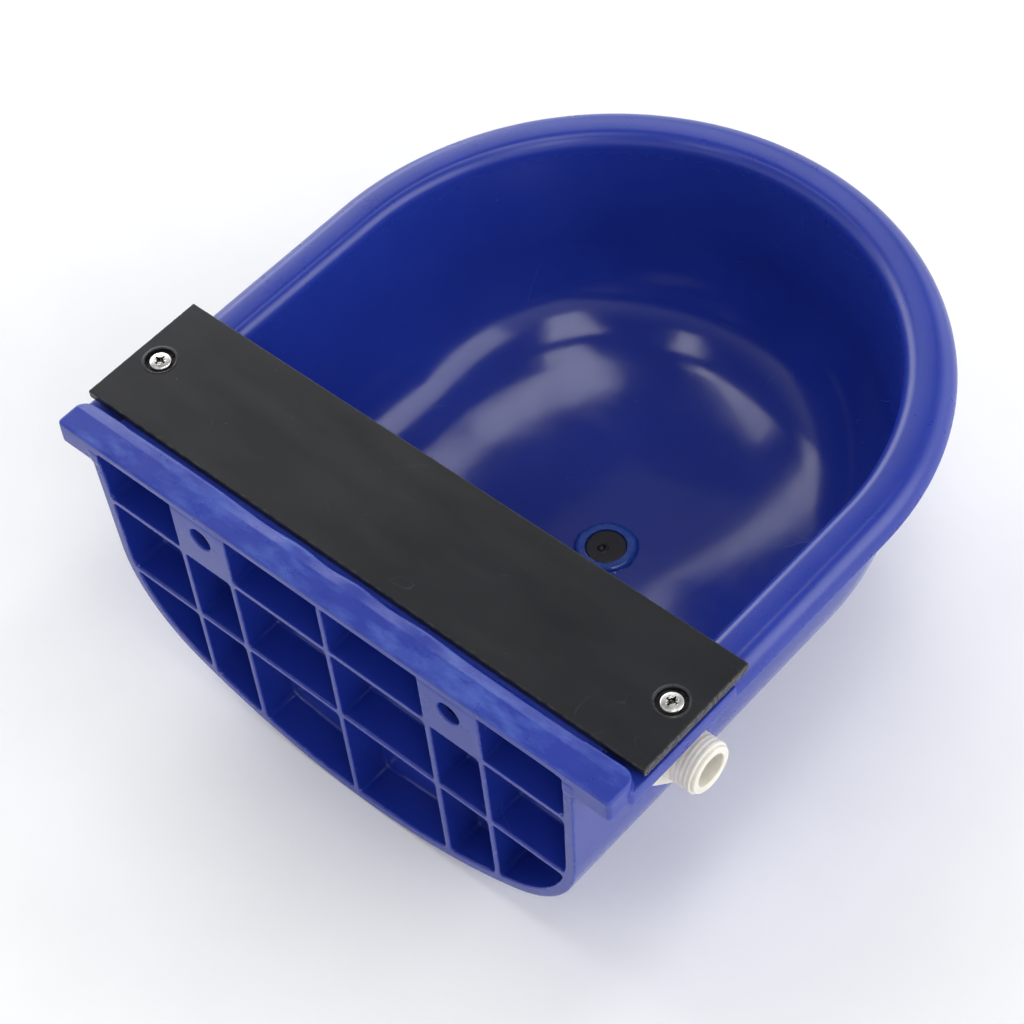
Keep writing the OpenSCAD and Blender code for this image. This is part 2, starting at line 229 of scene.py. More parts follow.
def drain_form(x, y, z):
    """Raised bead round the drain, and what is cut through the floor under it."""
    dy = y - DRAIN_Y
    angle = np.arctan2(dy, x)
    wobble = 0.22 * np.sin(2 * angle + 0.7) + 0.12 * np.sin(5 * angle) + 0.06 * np.sin(11 * angle)
    r = np.hypot(x, dy)
    top = WALL - BOWL_H + BEAD_H
    bead = meet(r - BEAD_R - wobble, span(z, -BOWL_H + 1, top + 0.4 * wobble), BEAD_H - 0.4)
    recess = meet(r - FLANGE_R - 0.5, z + BOWL_H - RECESS_H, 0.4)
    notch = meet(np.hypot(x, dy - FLANGE_R) - FLANGE_R / 2, z + BOWL_H - RECESS_H, 0.4)
    return bead, np.minimum(recess, notch), r - DRAIN_R


def ripple(x, y, z):
    """Slow unevenness of a large moulding, and the deck's slight fall towards the cover."""
    wave = np.sin(x / 23 + 1.3 * np.sin(y / 31)) * np.cos(y / 19 + 0.8 * np.sin(z / 27 + x / 41))
    deck = np.sin(x / 9.0 + 2 * np.sin(x / 37)) * np.clip((z + 3) / 2, 0, 1) * np.clip((y + 18) / 2, 0, 1)
    crown = np.clip(-10 - y, 0, 6) * (0.12 + 0.08 * np.sin(x / 7.5 + 3 * np.sin(x / 29)))
    return 0.05 * wave + 0.10 * deck + crown * np.clip((z + 3) / 2, 0, 1) * (y > -DECK_L - 1)


def bowl_distance(p):
    """The whole bowl moulding as one distance field."""
    x, y, z = p[:, 0], p[:, 1], p[:, 2]
    ax = np.abs(x)
    rho = np.where(y > DOME_Y, ax, np.hypot(x, y - DOME_Y))
    outer = tub_outside(rho, z)
    inside = meet(outer + WALL, y - BACK_WALL_Y, 3.0)
    crest = meet(crowned(rho, y, z), -inside, LIP_IN_R)
    ledge = ledge_form(ax, y, z)
    pad = np.hypot(y - VALVE_Y, z - VALVE_Z) - PAD_R
    out_pad = meet(pad, span(x, PAD_OUT_X, WALL - SIDE_TOP), 0.6)
    tub = meet(outer, y, 0.9)
    body = join(np.minimum(tub, lip_form(rho, y, z, outer)), out_pad, 1.2)
    body = np.maximum(join(body, ledge, 0.6), np.where(z > RIM_Z - LIP_IN_R - 1, crest, -inside))
    boss = np.hypot(ax - SCREW_X, y - SCREW_Y) - BOSS_R
    body = join(body, meet(boss, span(z, RIM_Z - 1, SEAT_Z), 0.5), 0.8)
    body = join(body, deck_form(ax, y, z), 1.0)
    in_pad = meet(np.maximum(pad, span(y, LEDGE_FRONT, BACK_WALL_Y)), span(x, 1 - SIDE_TOP, PAD_IN_X), 0.6)
    body = join(body, np.maximum(in_pad, z - RIM_Z + LIP_T), 0.8)
    body = cut(body, cell_form(x, y, z, outer), 0.55)
    body = cut(body, bolt_form(ax, y, z), 0.5)
    bead, recess, hole = drain_form(x, y, z)
    body = join(body, bead, 0.6)
    body = cut(body, np.where(z < -BOWL_H / 2, np.minimum(recess, hole), 9), 0.5)
    stem = np.maximum(np.hypot(y - VALVE_Y, z - VALVE_Z) - STEM_HOLE_R, x - PAD_IN_X - 5)
    body = cut(body, stem, 0.3)
    screw = np.maximum(np.hypot(ax - SCREW_X, y - SCREW_Y) - SCREW_R, -BOSS_DROP - 5 - z)
    return cut(body, screw, 0.3) + ripple(x, y, z)


def slope(distance, p, step=0.05):
    """Gradient of a distance field, from four samples at the corners of a tetrahedron."""
    corners = np.array(((1, -1, -1), (-1, -1, 1), (-1, 1, -1), (1, 1, 1)), np.float32)
    total = sum(c * distance(p + step * c)[:, None] for c in corners)
    return total / (4 * step)


def settle(points, distance, rounds):
    """Points moved onto a distance field's surface, with the surface's normal at each."""
    p = points.copy()
    for _ in range(rounds):
        g = slope(distance, p)
        size = np.maximum((g * g).sum(1), 0.2)[:, None]
        p -= np.clip(distance(p)[:, None], -0.8, 0.8) * g / size
    g = slope(distance, p)
    return p, g / np.maximum(np.linalg.norm(g, axis=1), 1e-6)[:, None]


# ---- Meshes from distance fields ----
def remeshed(node, voxel):
    """Vertices and faces of a CAD node's shape as even quads, in the script's millimetres."""
    stand_in = bpy.data.objects.new("stand_in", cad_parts[node].data.copy())
    bpy.context.scene.collection.objects.link(stand_in)
    remesh = stand_in.modifiers.new("even", "REMESH")
    remesh.mode = "VOXEL"
    remesh.voxel_size = voxel * MM
    mesh = evaluated_copy(stand_in)
    bpy.data.objects.remove(stand_in)
    return mesh


def evaluated_copy(obj):
    """The mesh of an object with its modifiers applied."""
    depsgraph = bpy.context.evaluated_depsgraph_get()
    return bpy.data.meshes.new_from_object(obj.evaluated_get(depsgraph))


def thinned(mesh, share):
    """The mesh with that share of its triangles, fewest where it is flat."""
    stand_in = bpy.data.objects.new("stand_in", mesh)
    bpy.context.scene.collection.objects.link(stand_in)
    stand_in.modifiers.new("thin", "DECIMATE").ratio = share
    mesh = evaluated_copy(stand_in)
    bpy.data.objects.remove(stand_in)
    return mesh


def read_points(mesh):
    """The mesh's vertices in millimetres, z from the top of the deck."""
    co = np.zeros(len(mesh.vertices) * 3, np.float32)
    mesh.vertices.foreach_get("co", co)
    return co.reshape(-1, 3) / MM - np.array((0, 0, DECK_HEIGHT), np.float32)


def write_points(mesh, p):
    """Puts points in millimetres back into the mesh."""
    mesh.vertices.foreach_set("co", ((p + (0, 0, DECK_HEIGHT)) * MM).astype(np.float32).ravel())
    mesh.update()


def set_normals(mesh, normals, crease=25):
    """Shades each face corner with the form's own normal, and across an edge with the face's."""
    corners = np.zeros(len(mesh.loops), np.int32)
    mesh.loops.foreach_get("vertex_index", corners)
    sides = np.zeros(len(mesh.polygons), np.int32)
    mesh.polygons.foreach_get("loop_total", sides)
    flat = np.zeros(len(mesh.polygons) * 3, np.float32)
    mesh.polygons.foreach_get("normal", flat)
    flat = np.repeat(flat.reshape(-1, 3), sides, axis=0)
    smooth = normals[corners].astype(np.float32)
    near = (flat * smooth).sum(1) > math.cos(math.radians(crease))
    mesh.polygons.foreach_set("use_smooth", [True] * len(mesh.polygons))
    mesh.normals_split_custom_set(np.where(near[:, None], smooth, flat).tolist())


def edge_wear(distance, p):
    """From 0 to 1, how much each point lies on an outer edge, from the field's curvature."""
    step = 0.4
    centre = distance(p)
    total = -6 * centre
    for axis in np.eye(3, dtype=np.float32):
        total = total + distance(p + step * axis) + distance(p - step * axis)
    return np.clip((total / step**2 - 0.3) / 0.8, 0, 1)


def fitted(mesh, distance, part):
    """Moves the points that a field describes onto it, and returns them all with their normals."""
    points = read_points(mesh)
    normals = np.zeros(len(points) * 3, np.float32)
    mesh.vertices.foreach_get("normal", normals)
    normals = normals.reshape(-1, 3)
    chosen = np.flatnonzero(part(points)) if part else np.arange(len(points))
    points[chosen], normals[chosen] = settle(points[chosen], distance, 2)
    write_points(mesh, points)
    return points, normals


def moulded(name, node, distance, voxel, share=1.0, part=None):
    """A piece with the form of a distance field, meshed from the CAD node that it replaces."""
    mesh = remeshed(node, voxel * (1))
    points, normals = fitted(mesh, distance, part)
    if share < 1:
        mesh = thinned(mesh, share)
        points, normals = fitted(mesh, distance, part)
    mesh.name = name
    wear = mesh.attributes.new("edge_wear", "FLOAT", "POINT")
    wear.data.foreach_set("value", edge_wear(distance, points).astype(np.float32))
    set_normals(mesh, normals)
    obj = bpy.data.objects.new(name, mesh)
    bpy.context.scene.collection.objects.link(obj)
    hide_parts(node)
    return obj


# ---- Distance fields of the smaller pieces ----
def cover_distance(p):
    """Cut sheet with rough sheared ends, two screw recesses with a slight burr."""
    x, y, z = p[:, 0], p[:, 1], p[:, 2]
    ax = np.abs(x)
    nick = 0.10 * np.sin(y * 1.9 + 2 * np.sin(y * 0.7) + z) + 0.07 * np.sin(y * 5.3 + z * 3 + x / 40)
    long_edge = 0.04 * np.sin(x * 0.9 + 1.5 * np.sin(x * 0.13))
    top = span(z, SEAT_Z, COVER_TOP) + 0.03 * np.sin(x / 17 + np.sin(y / 9)) * np.cos(y / 13)
    plate = meet(ax - COVER_END + nick, span(y, COVER_FRONT, COVER_BACK) + long_edge, 0.35)
    plate = meet(plate, top, 0.25)
    r = np.hypot(ax - SCREW_X, y - SCREW_Y)
    burr = np.hypot(r - (SINK_R + 0.5), (z - (COVER_TOP - 0.1)) * 1.5) - 0.35
    plate = join(plate, burr, 0.3)
    sink = meet(r - SINK_R, SINK_Z - z, 0.3)
    return cut(plate, np.minimum(sink, r - SHEET_HOLE_R), 0.2)


def plug_distance(p):
    """Rubber stopper with a flange below and a moulding mark on its top."""
    x, y, z = p[:, 0], p[:, 1] - DRAIN_Y, p[:, 2] + BOWL_H
    r = np.hypot(x, y)
    flange = meet(r - FLANGE_R, span(z, 0.2, RECESS_H - 0.2), 0.5)
    stem = meet(r - DRAIN_R + 0.05, span(z, 0.2, PLUG_TOP + 0.02 * r), 0.6)
    body = join(flange, stem, 0.15)
    mark = np.hypot(x - MARK_X, y - MARK_Y)
    body = cut(body, np.hypot(mark, z - PLUG_TOP - 0.8) - MARK_R, 0.3)
    around = np.sin(np.arctan2(y - MARK_Y, x - MARK_X) + 0.9)
    lip = np.hypot(mark - MARK_R, z - PLUG_TOP + 0.1) - 0.30 + 0.28 * around
    return join(body, lip, 0.25)


def screw_distance(p):
    """Pan head with a tapered cross recess, and a self-tapping shank."""
    x, y, z = np.abs(p[:, 0]) - SCREW_X, p[:, 1] - SCREW_Y, p[:, 2] - SINK_Z
    r = np.hypot(x, y)
    dome = np.hypot(r, z + (DOME_R - HEAD_H)) - DOME_R
    head = meet(meet(r - HEAD_R, dome, 0.7), -z, 0.15)
    ridge = np.abs((z * 0.75 + np.arctan2(y, x) / (2 * math.pi)) % 1 - 0.5) * 0.9
    taper = np.clip((z + SHANK_L) / 2.5, 0.1, 1)
    shank = np.maximum(r - 1.55 * taper - 0.45 * (1 - 2 * ridge) * taper, span(z, -SHANK_L, 0.5))
    depth = np.clip((z - 0.6) / 1.8, 0, 1)
    u = np.abs(x * math.cos(SLOT_TURN) + y * math.sin(SLOT_TURN))
    v = np.abs(y * math.cos(SLOT_TURN) - x * math.sin(SLOT_TURN))
    arm = np.minimum(
        np.maximum(u - 1.1 - 1.3 * depth, v - 0.34 - 0.2 * depth),
        np.maximum(v - 1.1 - 1.3 * depth, u - 0.34 - 0.2 * depth))
    slot = np.maximum(join(arm, r - 0.75 - 0.3 * depth, 0.25), 0.45 - z)
    return cut(join(head, shank, 0.2), slot, 0.10)


def along_valve(p):
    """Coordinates of the valve: x along the barrel, then across and up from its axis."""
    return p[:, 0], p[:, 1] - VALVE_Y, p[:, 2] - VALVE_Z


def thread(x, angle, crest, depth):
    """Radius of a half-inch pipe thread with rounded crests and roots."""
    turns = x / THREAD_PITCH - angle / (2 * math.pi)
    return crest - depth * (0.5 - 0.5 * np.cos(2 * math.pi * turns))


def nut_distance(p):
    """Hexagon nut with rounded and chamfered corners."""
    x, y, z = along_valve(p)
    r = np.hypot(y, z)
    nut = span(x, NUT_X, PAD_OUT_X)
    for turn in (NUT_PHASE, NUT_PHASE + math.pi / 3, NUT_PHASE + 2 * math.pi / 3):
        nut = meet(nut, np.abs(y * math.cos(turn) + z * math.sin(turn)) - NUT_AF / 2, 0.5)
    from_middle = np.abs(x - (NUT_X + PAD_OUT_X) / 2)
    chamfer = (r - CHAMFER_R) * math.sin(CHAMFER) + (from_middle - 3.5) * math.cos(CHAMFER)
    return cut(meet(nut, chamfer, 0.4), r - NUT_BORE_R, 0.4)


def stem_distance(p):
    """Threaded inlet with a plain lead-in ring and a chamfered bore."""
    x, y, z = along_valve(p)
    r = np.hypot(y, z)
    threaded = thread(x, np.arctan2(z, y), THREAD_R, THREAD_DEPTH)
    radius = np.where(x > NUT_X, GRIP_R, np.where(x > STEM_X + LEAD_L, threaded, LEAD_R))
    stem = meet(r - radius, STEM_X - x, 0.5)
    return cut(stem, r - BORE_R - 0.02 * (-120 - x), 0.5)


def on_stem(p):
    """Which points belong to the stem outside the nut's inner face."""
    return p[:, 0] < NUT_X + 3


# ---- Materials ----
class Material:
    """A node material: each call to add() makes one node and wires its inputs."""

    def __init__(self, name, rough, metal=0.0, ior=1.5, subsurface=0.0, depth=(1, 1, 1)):
        self.data = bpy.data.materials.new(name)
        self.data.use_nodes = True
        self.tree = self.data.node_tree
        self.shader = self.tree.nodes["Principled BSDF"]
        sockets = self.shader.inputs
        sockets["Roughness"].default_value = rough
        sockets["Metallic"].default_value = metal
        sockets["IOR"].default_value = ior
        sockets["Subsurface Weight"].default_value = subsurface
        sockets["Subsurface Radius"].default_value = depth
        sockets["Subsurface Scale"].default_value = MM
        self.place = self.add("ShaderNodeTexCoord").outputs["Object"]

    def add(self, kind, inputs=(), **settings):
        """One node; each input is a number, a colour or another node's output."""
        node = self.tree.nodes.new(kind)
        for key, value in settings.items():
            setattr(node, key, value)
        for key, value in dict(inputs).items():
            if isinstance(value, bpy.types.NodeSocket):
                self.tree.links.new(value, node.inputs[key])
            else:
                node.inputs[key].default_value = value
        return node

    def math(self, operation, a, b=0.0):
        """Arithmetic on one or two values."""
        return self.add("ShaderNodeMath", {0: a, 1: b}, operation=operation).outputs[0]

    def stretched(self, scale=(1, 1, 1), turn=(0, 0, 0)):
        """The object's coordinates, turned and scaled."""
        inputs = {"Vector": self.place, "Scale": scale, "Rotation": turn}
        return self.add("ShaderNodeMapping", inputs).outputs[0]

    def noise(self, size, detail=3.0, place=None, roughness=0.55):
        """Noise whose features are about that many millimetres across."""
        inputs = {"Vector": place or self.place, "Scale": 1 / (size * MM)}
        inputs.update({"Detail": detail, "Roughness": roughness})
        return self.add("ShaderNodeTexNoise", inputs).outputs["Fac"]

    def fade(self, value, low, high, to_low=0.0, to_high=1.0):
        """The value's range low to high, mapped to another and clamped."""
        inputs = {"Value": value, "From Min": low, "From Max": high, "To Min": to_low, "To Max": to_high}
        return self.add("ShaderNodeMapRange", inputs).outputs["Result"]

    def mix(self, share, a, b):
        """A colour between a and b."""
        node = self.add("ShaderNodeMix", {0: share}, data_type="RGBA")
        for index, value in ((6, a), (7, b)):
            if isinstance(value, bpy.types.NodeSocket):
                self.tree.links.new(value, node.inputs[index])
            else:
                node.inputs[index].default_value = (*value, 1)
        return node.outputs[2]

    def lines(self, size, width, place=None, cover=0.6):
        """Thin curling scratches of that width in millimetres, over part of the surface."""
        bend = self.add("ShaderNodeTexNoise", {"Vector": place or self.place, "Scale": 0.4 / (size * MM)})
        inputs = {0: bend.outputs["Color"], 1: (0.5, 0.5, 0.5)}
        centred = self.add("ShaderNodeVectorMath", inputs, operation="SUBTRACT")
        moved = self.add(
            "ShaderNodeVectorMath", {0: centred.outputs[0], 1: (size * MM * 2,) * 3, 2: place or self.place},
            operation="MULTIPLY_ADD")
        inputs = {"Vector": moved.outputs[0], "Scale": 1 / (size * MM)}
        cell = self.add("ShaderNodeTexVoronoi", inputs, feature="DISTANCE_TO_EDGE")
        line = self.fade(cell.outputs["Distance"], width / size, 0.2 * width / size)
        patch = self.fade(self.noise(size * 1.2, 2.0), cover, cover + 0.04)
        return self.math("MULTIPLY", line, patch)

    def specks(self, size, radius, cover=0.6):
        """Rare round specks of that radius in millimetres."""
        cell = self.add("ShaderNodeTexVoronoi", {"Vector": self.place, "Scale": 1 / (size * MM)})
        dot = self.fade(cell.outputs["Distance"], radius / size, 0.7 * radius / size)
        return self.math("MULTIPLY", dot, self.fade(self.noise(size * 3, 3.0), cover, cover + 0.04))

    def ring(self, x, y, inner, outer):
        """From 0 to 1, inside the ring round that upright axis, in millimetres."""
        flat = self.add("ShaderNodeVectorMath", {0: self.place, 1: (1, 1, 0)}, operation="MULTIPLY")
        inputs = {0: flat.outputs[0], 1: (x * MM, y * MM, 0)}
        r = self.add("ShaderNodeVectorMath", inputs, operation="DISTANCE").outputs["Value"]
        rising = self.fade(r, (inner - 0.4) * MM, inner * MM)
        return self.math("MULTIPLY", rising, self.fade(r, (outer + 0.6) * MM, outer * MM))

    def finish(self, colour, rough, height, amount):
        """Wires colour, roughness if any, and bump; the amount is the bump's depth in millimetres."""
        inputs = self.shader.inputs
        self.tree.links.new(colour, inputs["Base Color"])
        if rough:
            self.tree.links.new(rough, inputs["Roughness"])
        bump = self.add("ShaderNodeBump", {"Height": height, "Distance": amount * MM, "Strength": 1.0})
        self.tree.links.new(bump.outputs[0], inputs["Normal"])
        return self.data


def blue_plastic():
    """Moulded polypropylene, glossy, with rubbed edges, painted highlight streaks on the deck, a paler drain
    bead with painted highlight patches, scratches and dust.
    """
    m = Material("blue_plastic", 0.16, ior=1.49, subsurface=0.35, depth=(0.35, 0.7, 2.6))
    tone = m.fade(m.noise(38, 3), 0.3, 0.7)
    colour = m.mix(tone, (0.0125, 0.031, 0.285), (0.0155, 0.037, 0.315))
    edge = m.add("ShaderNodeAttribute", attribute_name="edge_wear").outputs["Fac"]
    chafe = m.math("MULTIPLY", edge, m.fade(m.noise(4.5, 5, roughness=0.7), 0.35, 0.75))
    colour = m.mix(m.math("MULTIPLY", chafe, 0.5), colour, (0.060, 0.095, 0.42))
    # Lighter azure on the drain bead: partly the bead's own paler tone, partly painted highlight in its noisy
    # bright patches.
    bead = m.math("MULTIPLY", m.ring(0, DRAIN_Y, DRAIN_R, BEAD_R), m.fade(m.noise(3, 4), 0.3, 0.7, 0.3, 0.95))
    colour = m.mix(bead, colour, (0.022, 0.090, 0.40))
    long = m.stretched((0.25, 1.0, 1.0), (0, 0, math.radians(35)))
    scratch = m.math("MAXIMUM", m.lines(14, 0.10, long, 0.66), m.lines(34, 0.13, None, 0.63))
    colour = m.mix(m.math("MULTIPLY", scratch, 0.16), colour, (0.10, 0.13, 0.40))
    height = m.add("ShaderNodeSeparateXYZ", {0: m.place}).outputs["Z"]
    # Painted highlight: paler blue streaks on the deck's top stand in for reflections of the lights.
    deck_highlight_streaks = m.fade(m.noise(13, 5, m.stretched((0.4, 1.0, 1.0)), 0.68), 0.46, 0.64, 0.0, 0.75)
    painted_deck_highlight = m.math("MULTIPLY", deck_highlight_streaks, m.fade(height, (DECK_HEIGHT - 1) * MM, (DECK_HEIGHT - 0.3) * MM))
    colour = m.mix(painted_deck_highlight, colour, (0.070, 0.125, 0.46))
    speck = m.specks(7, 0.22, 0.55)
    colour = m.mix(m.math("MULTIPLY", speck, 0.6), colour, (0.36, 0.36, 0.40))
    rough = m.fade(m.noise(11, 5, roughness=0.65), 0.3, 0.7, 0.11, 0.18)
    rough = m.math("ADD", rough, m.math("MULTIPLY", m.math("MAXIMUM", chafe, scratch), 0.2))
    rough = m.math("ADD", rough, m.fade(height, -14 * MM, 2 * MM, 0.0, 0.15))
    grain = m.math("MULTIPLY", m.noise(0.5, 2), 0.12)
    relief = m.math("ADD", grain, m.math("MULTIPLY", m.noise(7, 2), 1.2))
    relief = m.math("SUBTRACT", relief, m.math("MULTIPLY", scratch, 0.35))
    return m.finish(colour, rough, m.math("ADD", relief, speck), 0.02)


def black_sheet():
    """Black sheet plastic with a satin skin, paler at its cut ends and rubbed edges."""
    m = Material("black_plastic", 0.34, ior=1.38)
    tone = m.fade(m.noise(26, 4), 0.3, 0.7)
    colour = m.mix(tone, (0.0075, 0.0080, 0.0105), (0.0105, 0.0110, 0.0140))
    edge = m.add("ShaderNodeAttribute", attribute_name="edge_wear").outputs["Fac"]
    across = m.math("ABSOLUTE", m.add("ShaderNodeSeparateXYZ", {0: m.place}).outputs["X"])
    sawn = m.fade(across, (LEDGE_W - 1.1) * MM, (LEDGE_W - 0.3) * MM)
    rubbed = m.math("MAXIMUM", m.math("MULTIPLY", edge, 0.35), m.math("MULTIPLY", sawn, 0.9))
    chafe = m.math("MULTIPLY", rubbed, m.fade(m.noise(1.4, 6, roughness=0.75), 0.38, 0.62))
    colour = m.mix(chafe, colour, (0.095, 0.092, 0.100))
    rolled = m.stretched((0.3, 1.0, 1.0))
    scratch = m.math("MAXIMUM", m.lines(12, 0.09, rolled, 0.62), m.lines(20, 0.12, None, 0.62))
    colour = m.mix(m.math("MULTIPLY", scratch, 0.35), colour, (0.05, 0.05, 0.055))
    dust = m.specks(6, 0.25, 0.55)
    colour = m.mix(m.math("MULTIPLY", dust, 0.5), colour, (0.25, 0.24, 0.24))
    rough = m.fade(m.noise(14, 4, rolled), 0.3, 0.7, 0.28, 0.38)
    height = m.math("ADD", m.math("MULTIPLY", m.noise(0.35, 3), 0.5), m.noise(5, 3))
    return m.finish(colour, rough, m.math("ADD", height, m.math("MULTIPLY", chafe, 1.5)), 0.018)


def steel():
    """Plated steel, a little dull and unevenly bright, with painted shade in the slots of the screw heads."""
    m = Material("steel", 0.30, metal=1.0)
    tone = m.fade(m.noise(1.8, 3), 0.3, 0.7)
    colour = m.mix(tone, (0.64, 0.62, 0.60), (0.74, 0.72, 0.70))
    rough = m.fade(m.noise(1.2, 3), 0.3, 0.7, 0.26, 0.36)
    placed = m.add("ShaderNodeVectorMath", {0: m.place}, operation="ABSOLUTE").outputs[0]
    centre = (SCREW_X * MM, -SCREW_Y * MM, 0)
    flat = m.add("ShaderNodeVectorMath", {0: placed, 1: (1, 1, 0)}, operation="MULTIPLY").outputs[0]
    r = m.add("ShaderNodeVectorMath", {0: flat, 1: centre}, operation="DISTANCE").outputs["Value"]
    top = DECK_HEIGHT + SINK_Z + HEAD_H - 0.25
    height = m.add("ShaderNodeSeparateXYZ", {0: m.place}).outputs["Z"]
    # Painted shade: the cross slots of the screw heads are darkened where shadow would fill them.
    painted_slot_shade = m.math("MULTIPLY", m.fade(height, top * MM, (top - 0.5) * MM), m.fade(r, 2.9 * MM, 2.6 * MM))
    colour = m.mix(m.math("MULTIPLY", painted_slot_shade, 0.9), colour, (0.05, 0.047, 0.043))
    return m.finish(colour, rough, m.noise(0.5, 2), 0.003)


def nylon():
    """Ivory nylon, slightly translucent, with scattered dirt stains."""
    m = Material("nylon", 0.36, ior=1.53, subsurface=0.5, depth=(1.6, 1.2, 0.8))
    tone = m.fade(m.noise(7, 4), 0.3, 0.7)
    colour = m.mix(tone, (0.70, 0.665, 0.585), (0.80, 0.775, 0.705))
    stain = m.fade(m.noise(1.5, 6, roughness=0.7), 0.62, 0.74, 0.0, 0.16)
    colour = m.mix(stain, colour, (0.45, 0.40, 0.33))
    rough = m.fade(m.noise(3, 4), 0.3, 0.7, 0.30, 0.44)
    return m.finish(colour, rough, m.noise(0.5, 3), 0.015)


def rubber():
    """Black rubber with a dusty, slightly pitted skin."""
    m = Material("rubber", 0.5, ior=1.52)
    tone = m.fade(m.noise(1.8, 5), 0.35, 0.72)
    colour = m.mix(tone, (0.010, 0.009, 0.012), (0.019, 0.017, 0.022))
    rough = m.fade(m.noise(2.5, 4), 0.3, 0.7, 0.40, 0.58)
    return m.finish(colour, rough, m.noise(0.4, 4), 0.03)


def brass():
    """Turned brass with fine rings round its axis and a little tarnish."""
    m = Material("brass", 0.28, metal=1.0)
    turned = m.stretched((12.0, 1.0, 1.0))
    tone = m.fade(m.noise(2.5, 4), 0.35, 0.7)
    colour = m.mix(tone, (0.72, 0.50, 0.20), (0.83, 0.62, 0.30))
    rough = m.fade(m.noise(1.5, 3), 0.3, 0.7, 0.22, 0.36)
    return m.finish(colour, rough, m.noise(2.0, 2, turned), 0.012)


def white_plastic():
    """White float shell, satin, slightly translucent and stained by water."""
    m = Material("white_plastic", 0.35, ior=1.5, subsurface=0.4, depth=(1.5, 1.4, 1.2))
    level = m.fade(m.noise(14, 4), 0.42, 0.72, 0.0, 0.5)
    colour = m.mix(level, (0.78, 0.78, 0.76), (0.62, 0.60, 0.52))
    rough = m.fade(m.noise(4, 4), 0.3, 0.7, 0.28, 0.42)
    return m.finish(colour, rough, m.noise(0.6, 3), 0.015)


def floor_paper():
    """White paper sweep with a barely visible tooth."""
    m = Material("floor_paper", 0.7)
    colour = m.mix(m.fade(m.noise(60, 3), 0.3, 0.7), (0.93, 0.93, 0.93), (0.96, 0.96, 0.96))
    return m.finish(colour, None, m.noise(0.8, 3), 0.01)


FINISHES = {
    "blue_plastic": blue_plastic(),
    "black_plastic": black_sheet(),
    "steel": steel(),
    "nylon": nylon(),
    "rubber": rubber(),
    "brass": brass(),
    "white_plastic": white_plastic(),
}


def paint(obj, finish):
    """Gives the piece that finish."""
    obj.data.materials.clear()
    obj.data.materials.append(FINISHES[finish])


# ---- Pieces that stand for the CAD nodes in view ----
bowl = moulded("bowl_moulding", "bowl", bowl_distance, 0.75, 0.14)
paint(bowl, "blue_plastic")
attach(bowl, "trough")

cover = moulded("cover_sheet", "cover_plate", cover_distance, 0.5, 0.3)
paint(cover, "black_plastic")
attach(cover, "trough")

screws = moulded("phillips_screws", "cover_screws", screw_distance, 0.13, 0.6)
paint(screws, "steel")
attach(screws, "trough")

plug = moulded("rubber_plug", "drain_plug", plug_distance, 0.22)
paint(plug, "rubber")
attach(plug, "drain_plug")

nut = moulded("hexagon_nut", "lock_nut", nut_distance, 0.3, 0.5)
paint(nut, "nylon")
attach(nut, "trough")

valve = moulded("valve_moulding", "valve_body", stem_distance, 0.3, 0.4, on_stem)
paint(valve, "nylon")
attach(valve, "trough")


# ---- The other CAD nodes, with softened edges ----
def soften(node, finish, width=0.3):
    """Bevels a CAD node's sharp edges and gives it its finish."""
    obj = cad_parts[node]
    bevel = obj.modifiers.new("soften", "BEVEL")
    bevel.width = width * MM
    bevel.segments = 2
    bevel.limit_method = "ANGLE"
    bevel.angle_limit = math.radians(40)
    for slot in obj.material_slots:
        slot.material = FINISHES[finish]


for name, finish, width in (
    ("wall_gasket", "rubber", 0.3),
    ("jet", "brass", 0.15),
    ("plunger", "white_plastic", 0.3),
    ("seal_disc", "rubber", 0.2),
    ("barrel_cap", "nylon", 0.4),
    ("float_lever", "nylon", 0.3),
    ("pivot_pin", "brass", 0.15),
    ("pin_clip", "steel", 0.05),
    ("float_arm", "steel", 0.2),
    ("arm_nuts", "brass", 0.25),
    ("float_upper", "white_plastic", 0.4),
    ("float_lower", "white_plastic", 0.4),
):
    soften(name, finish, width)


# ---- Floor, lights and camera ----
def add_floor(height, reach):
    """Pale flat floor under the object."""
    mesh = bpy.data.meshes.new("floor")
    corners = ((-reach, -reach), (reach, -reach), (reach, reach), (-reach, reach))
    mesh.from_pydata([(x, y, height) for x, y in corners], [], [(0, 1, 2, 3)])
    mesh.materials.append(floor_paper())
    floor = bpy.data.objects.new("floor", mesh)
    bpy.context.scene.collection.objects.link(floor)


def add_light(name, length, width, radiance, matrix):
    """Rectangular light of that even brightness, unseen by the camera itself."""
    light = bpy.data.lights.new(name, "AREA")
    light.shape = "RECTANGLE"
    light.size = length
    light.size_y = width
    light.energy = 4 * radiance * length * width
    lamp = bpy.data.objects.new(name, light)
    bpy.context.scene.collection.objects.link(lamp)
    lamp.matrix_world = matrix
    lamp.visible_camera = False


def add_strip(name, across, back, length, width, turn, radiance=3.2, height=1.5):
    """Light lying flat over the target; its place and size are for a height of one metre."""
    place = TARGET + Vector((across, back, 1.0)) * height
    matrix = Matrix.Translation(place) @ Matrix.Rotation(math.radians(turn), 4, "Z")
    add_light(name, length * height, width * height, radiance, matrix)


def add_side_light(name, direction, distance, width, height, radiance):
    """Upright light in that direction from the target, facing it."""
    away = Vector(direction).normalized()
    matrix = Matrix.Translation(TARGET + away * distance) @ away.to_track_quat("Z", "Y").to_matrix().to_4x4()
    add_light(name, width, height, radiance, matrix)


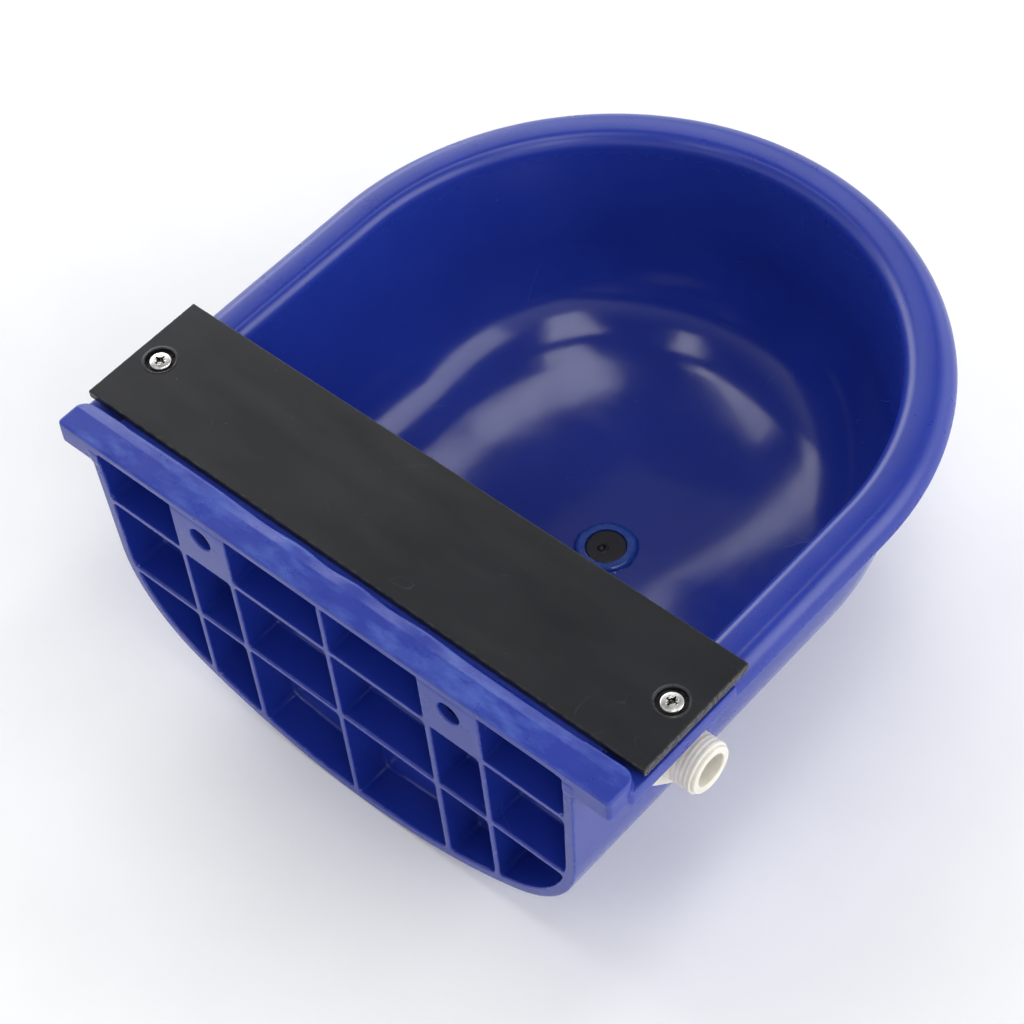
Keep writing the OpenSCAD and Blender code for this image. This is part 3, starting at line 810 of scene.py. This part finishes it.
def add_surroundings(overhead, horizon, lean):
    """World dim overhead and bright near the horizon, more so in front of the object."""
    world = bpy.data.worlds.new("studio")
    world.use_nodes = True
    tree = world.node_tree
    split = tree.nodes.new("ShaderNodeSeparateXYZ")
    tree.links.new(tree.nodes.new("ShaderNodeTexCoord").outputs["Generated"], split.inputs[0])
    ramp = tree.nodes.new("ShaderNodeMapRange")
    ramp.interpolation_type = "SMOOTHSTEP"
    limits = {"From Min": BRIGHT_UP_TO, "From Max": DIM_ABOVE, "To Min": horizon, "To Max": overhead}
    for key, value in limits.items():
        ramp.inputs[key].default_value = value
    tree.links.new(split.outputs["Z"], ramp.inputs["Value"])
    side = tree.nodes.new("ShaderNodeMath")
    side.operation = "MULTIPLY_ADD"
    side.inputs[1].default_value = -lean
    side.inputs[2].default_value = 1.0
    tree.links.new(split.outputs["Y"], side.inputs[0])
    both = tree.nodes.new("ShaderNodeMath")
    both.operation = "MULTIPLY"
    tree.links.new(ramp.outputs["Result"], both.inputs[0])
    tree.links.new(side.outputs[0], both.inputs[1])
    background = tree.nodes["Background"]
    background.inputs["Color"].default_value = (0.97, 0.985, 1.0, 1)
    tree.links.new(both.outputs[0], background.inputs["Strength"])
    bpy.context.scene.world = world


TARGET = Vector((0, -0.16, -0.09))  # just over the middle of the basin's floor, in metres
BRIGHT_UP_TO = 0.30  # sine of the elevation
DIM_ABOVE = 0.72
FLOOR_Z = (DECK_HEIGHT - BOWL_H - 0.2) * MM
add_floor(FLOOR_Z, 6.0)
add_surroundings(0.13, 1.25, 0.30)
add_strip("softbox_left", -0.90, 0.63, 0.84, 0.38, -33)
add_strip("softbox_corner", -0.22, 0.09, 0.50, 0.22, -28)
add_strip("softbox_front", -0.17, -0.28, 0.15, 0.44, -8)
add_strip("softbox_back", 0.08, 0.80, 0.18, 0.50, 12)
add_strip("softbox_right", 0.48, 0.27, 0.55, 0.11, -22)
add_strip("softbox_facing", 0.66, -0.50, 0.80, 0.70, 0, 0.18)
add_strip("softbox_low", 0.74, -0.84, 0.60, 0.26, 0, 3.6)
add_side_light("side_light_left", (1.0, -0.25, 0.55), 1.7, 1.5, 0.9, 2.1)
add_side_light("side_light_right", (-1.0, -0.35, 0.55), 1.7, 1.5, 0.9, 2.0)

bpy.context.scene.view_settings.view_transform = "Standard"

CAMERA_PLACE = Vector((-0.47196, 0.34554, 0.78440))
CAMERA_RIGHT = Vector((-0.74820, -0.65924, -0.07488))
CAMERA_UP = Vector((0.48543, -0.62085, 0.61554))
camera = bpy.data.objects.new("camera", bpy.data.cameras.new("camera"))
camera.data.lens = 98.70
camera.data.sensor_width = 36.0
axes = Matrix((CAMERA_RIGHT, CAMERA_UP, CAMERA_RIGHT.cross(CAMERA_UP))).transposed()
camera.matrix_world = Matrix.Translation(CAMERA_PLACE) @ axes.to_4x4()
bpy.context.scene.collection.objects.link(camera)
bpy.context.scene.camera = camera

# ---- Final update of the view layer ----
bpy.context.view_layer.update()
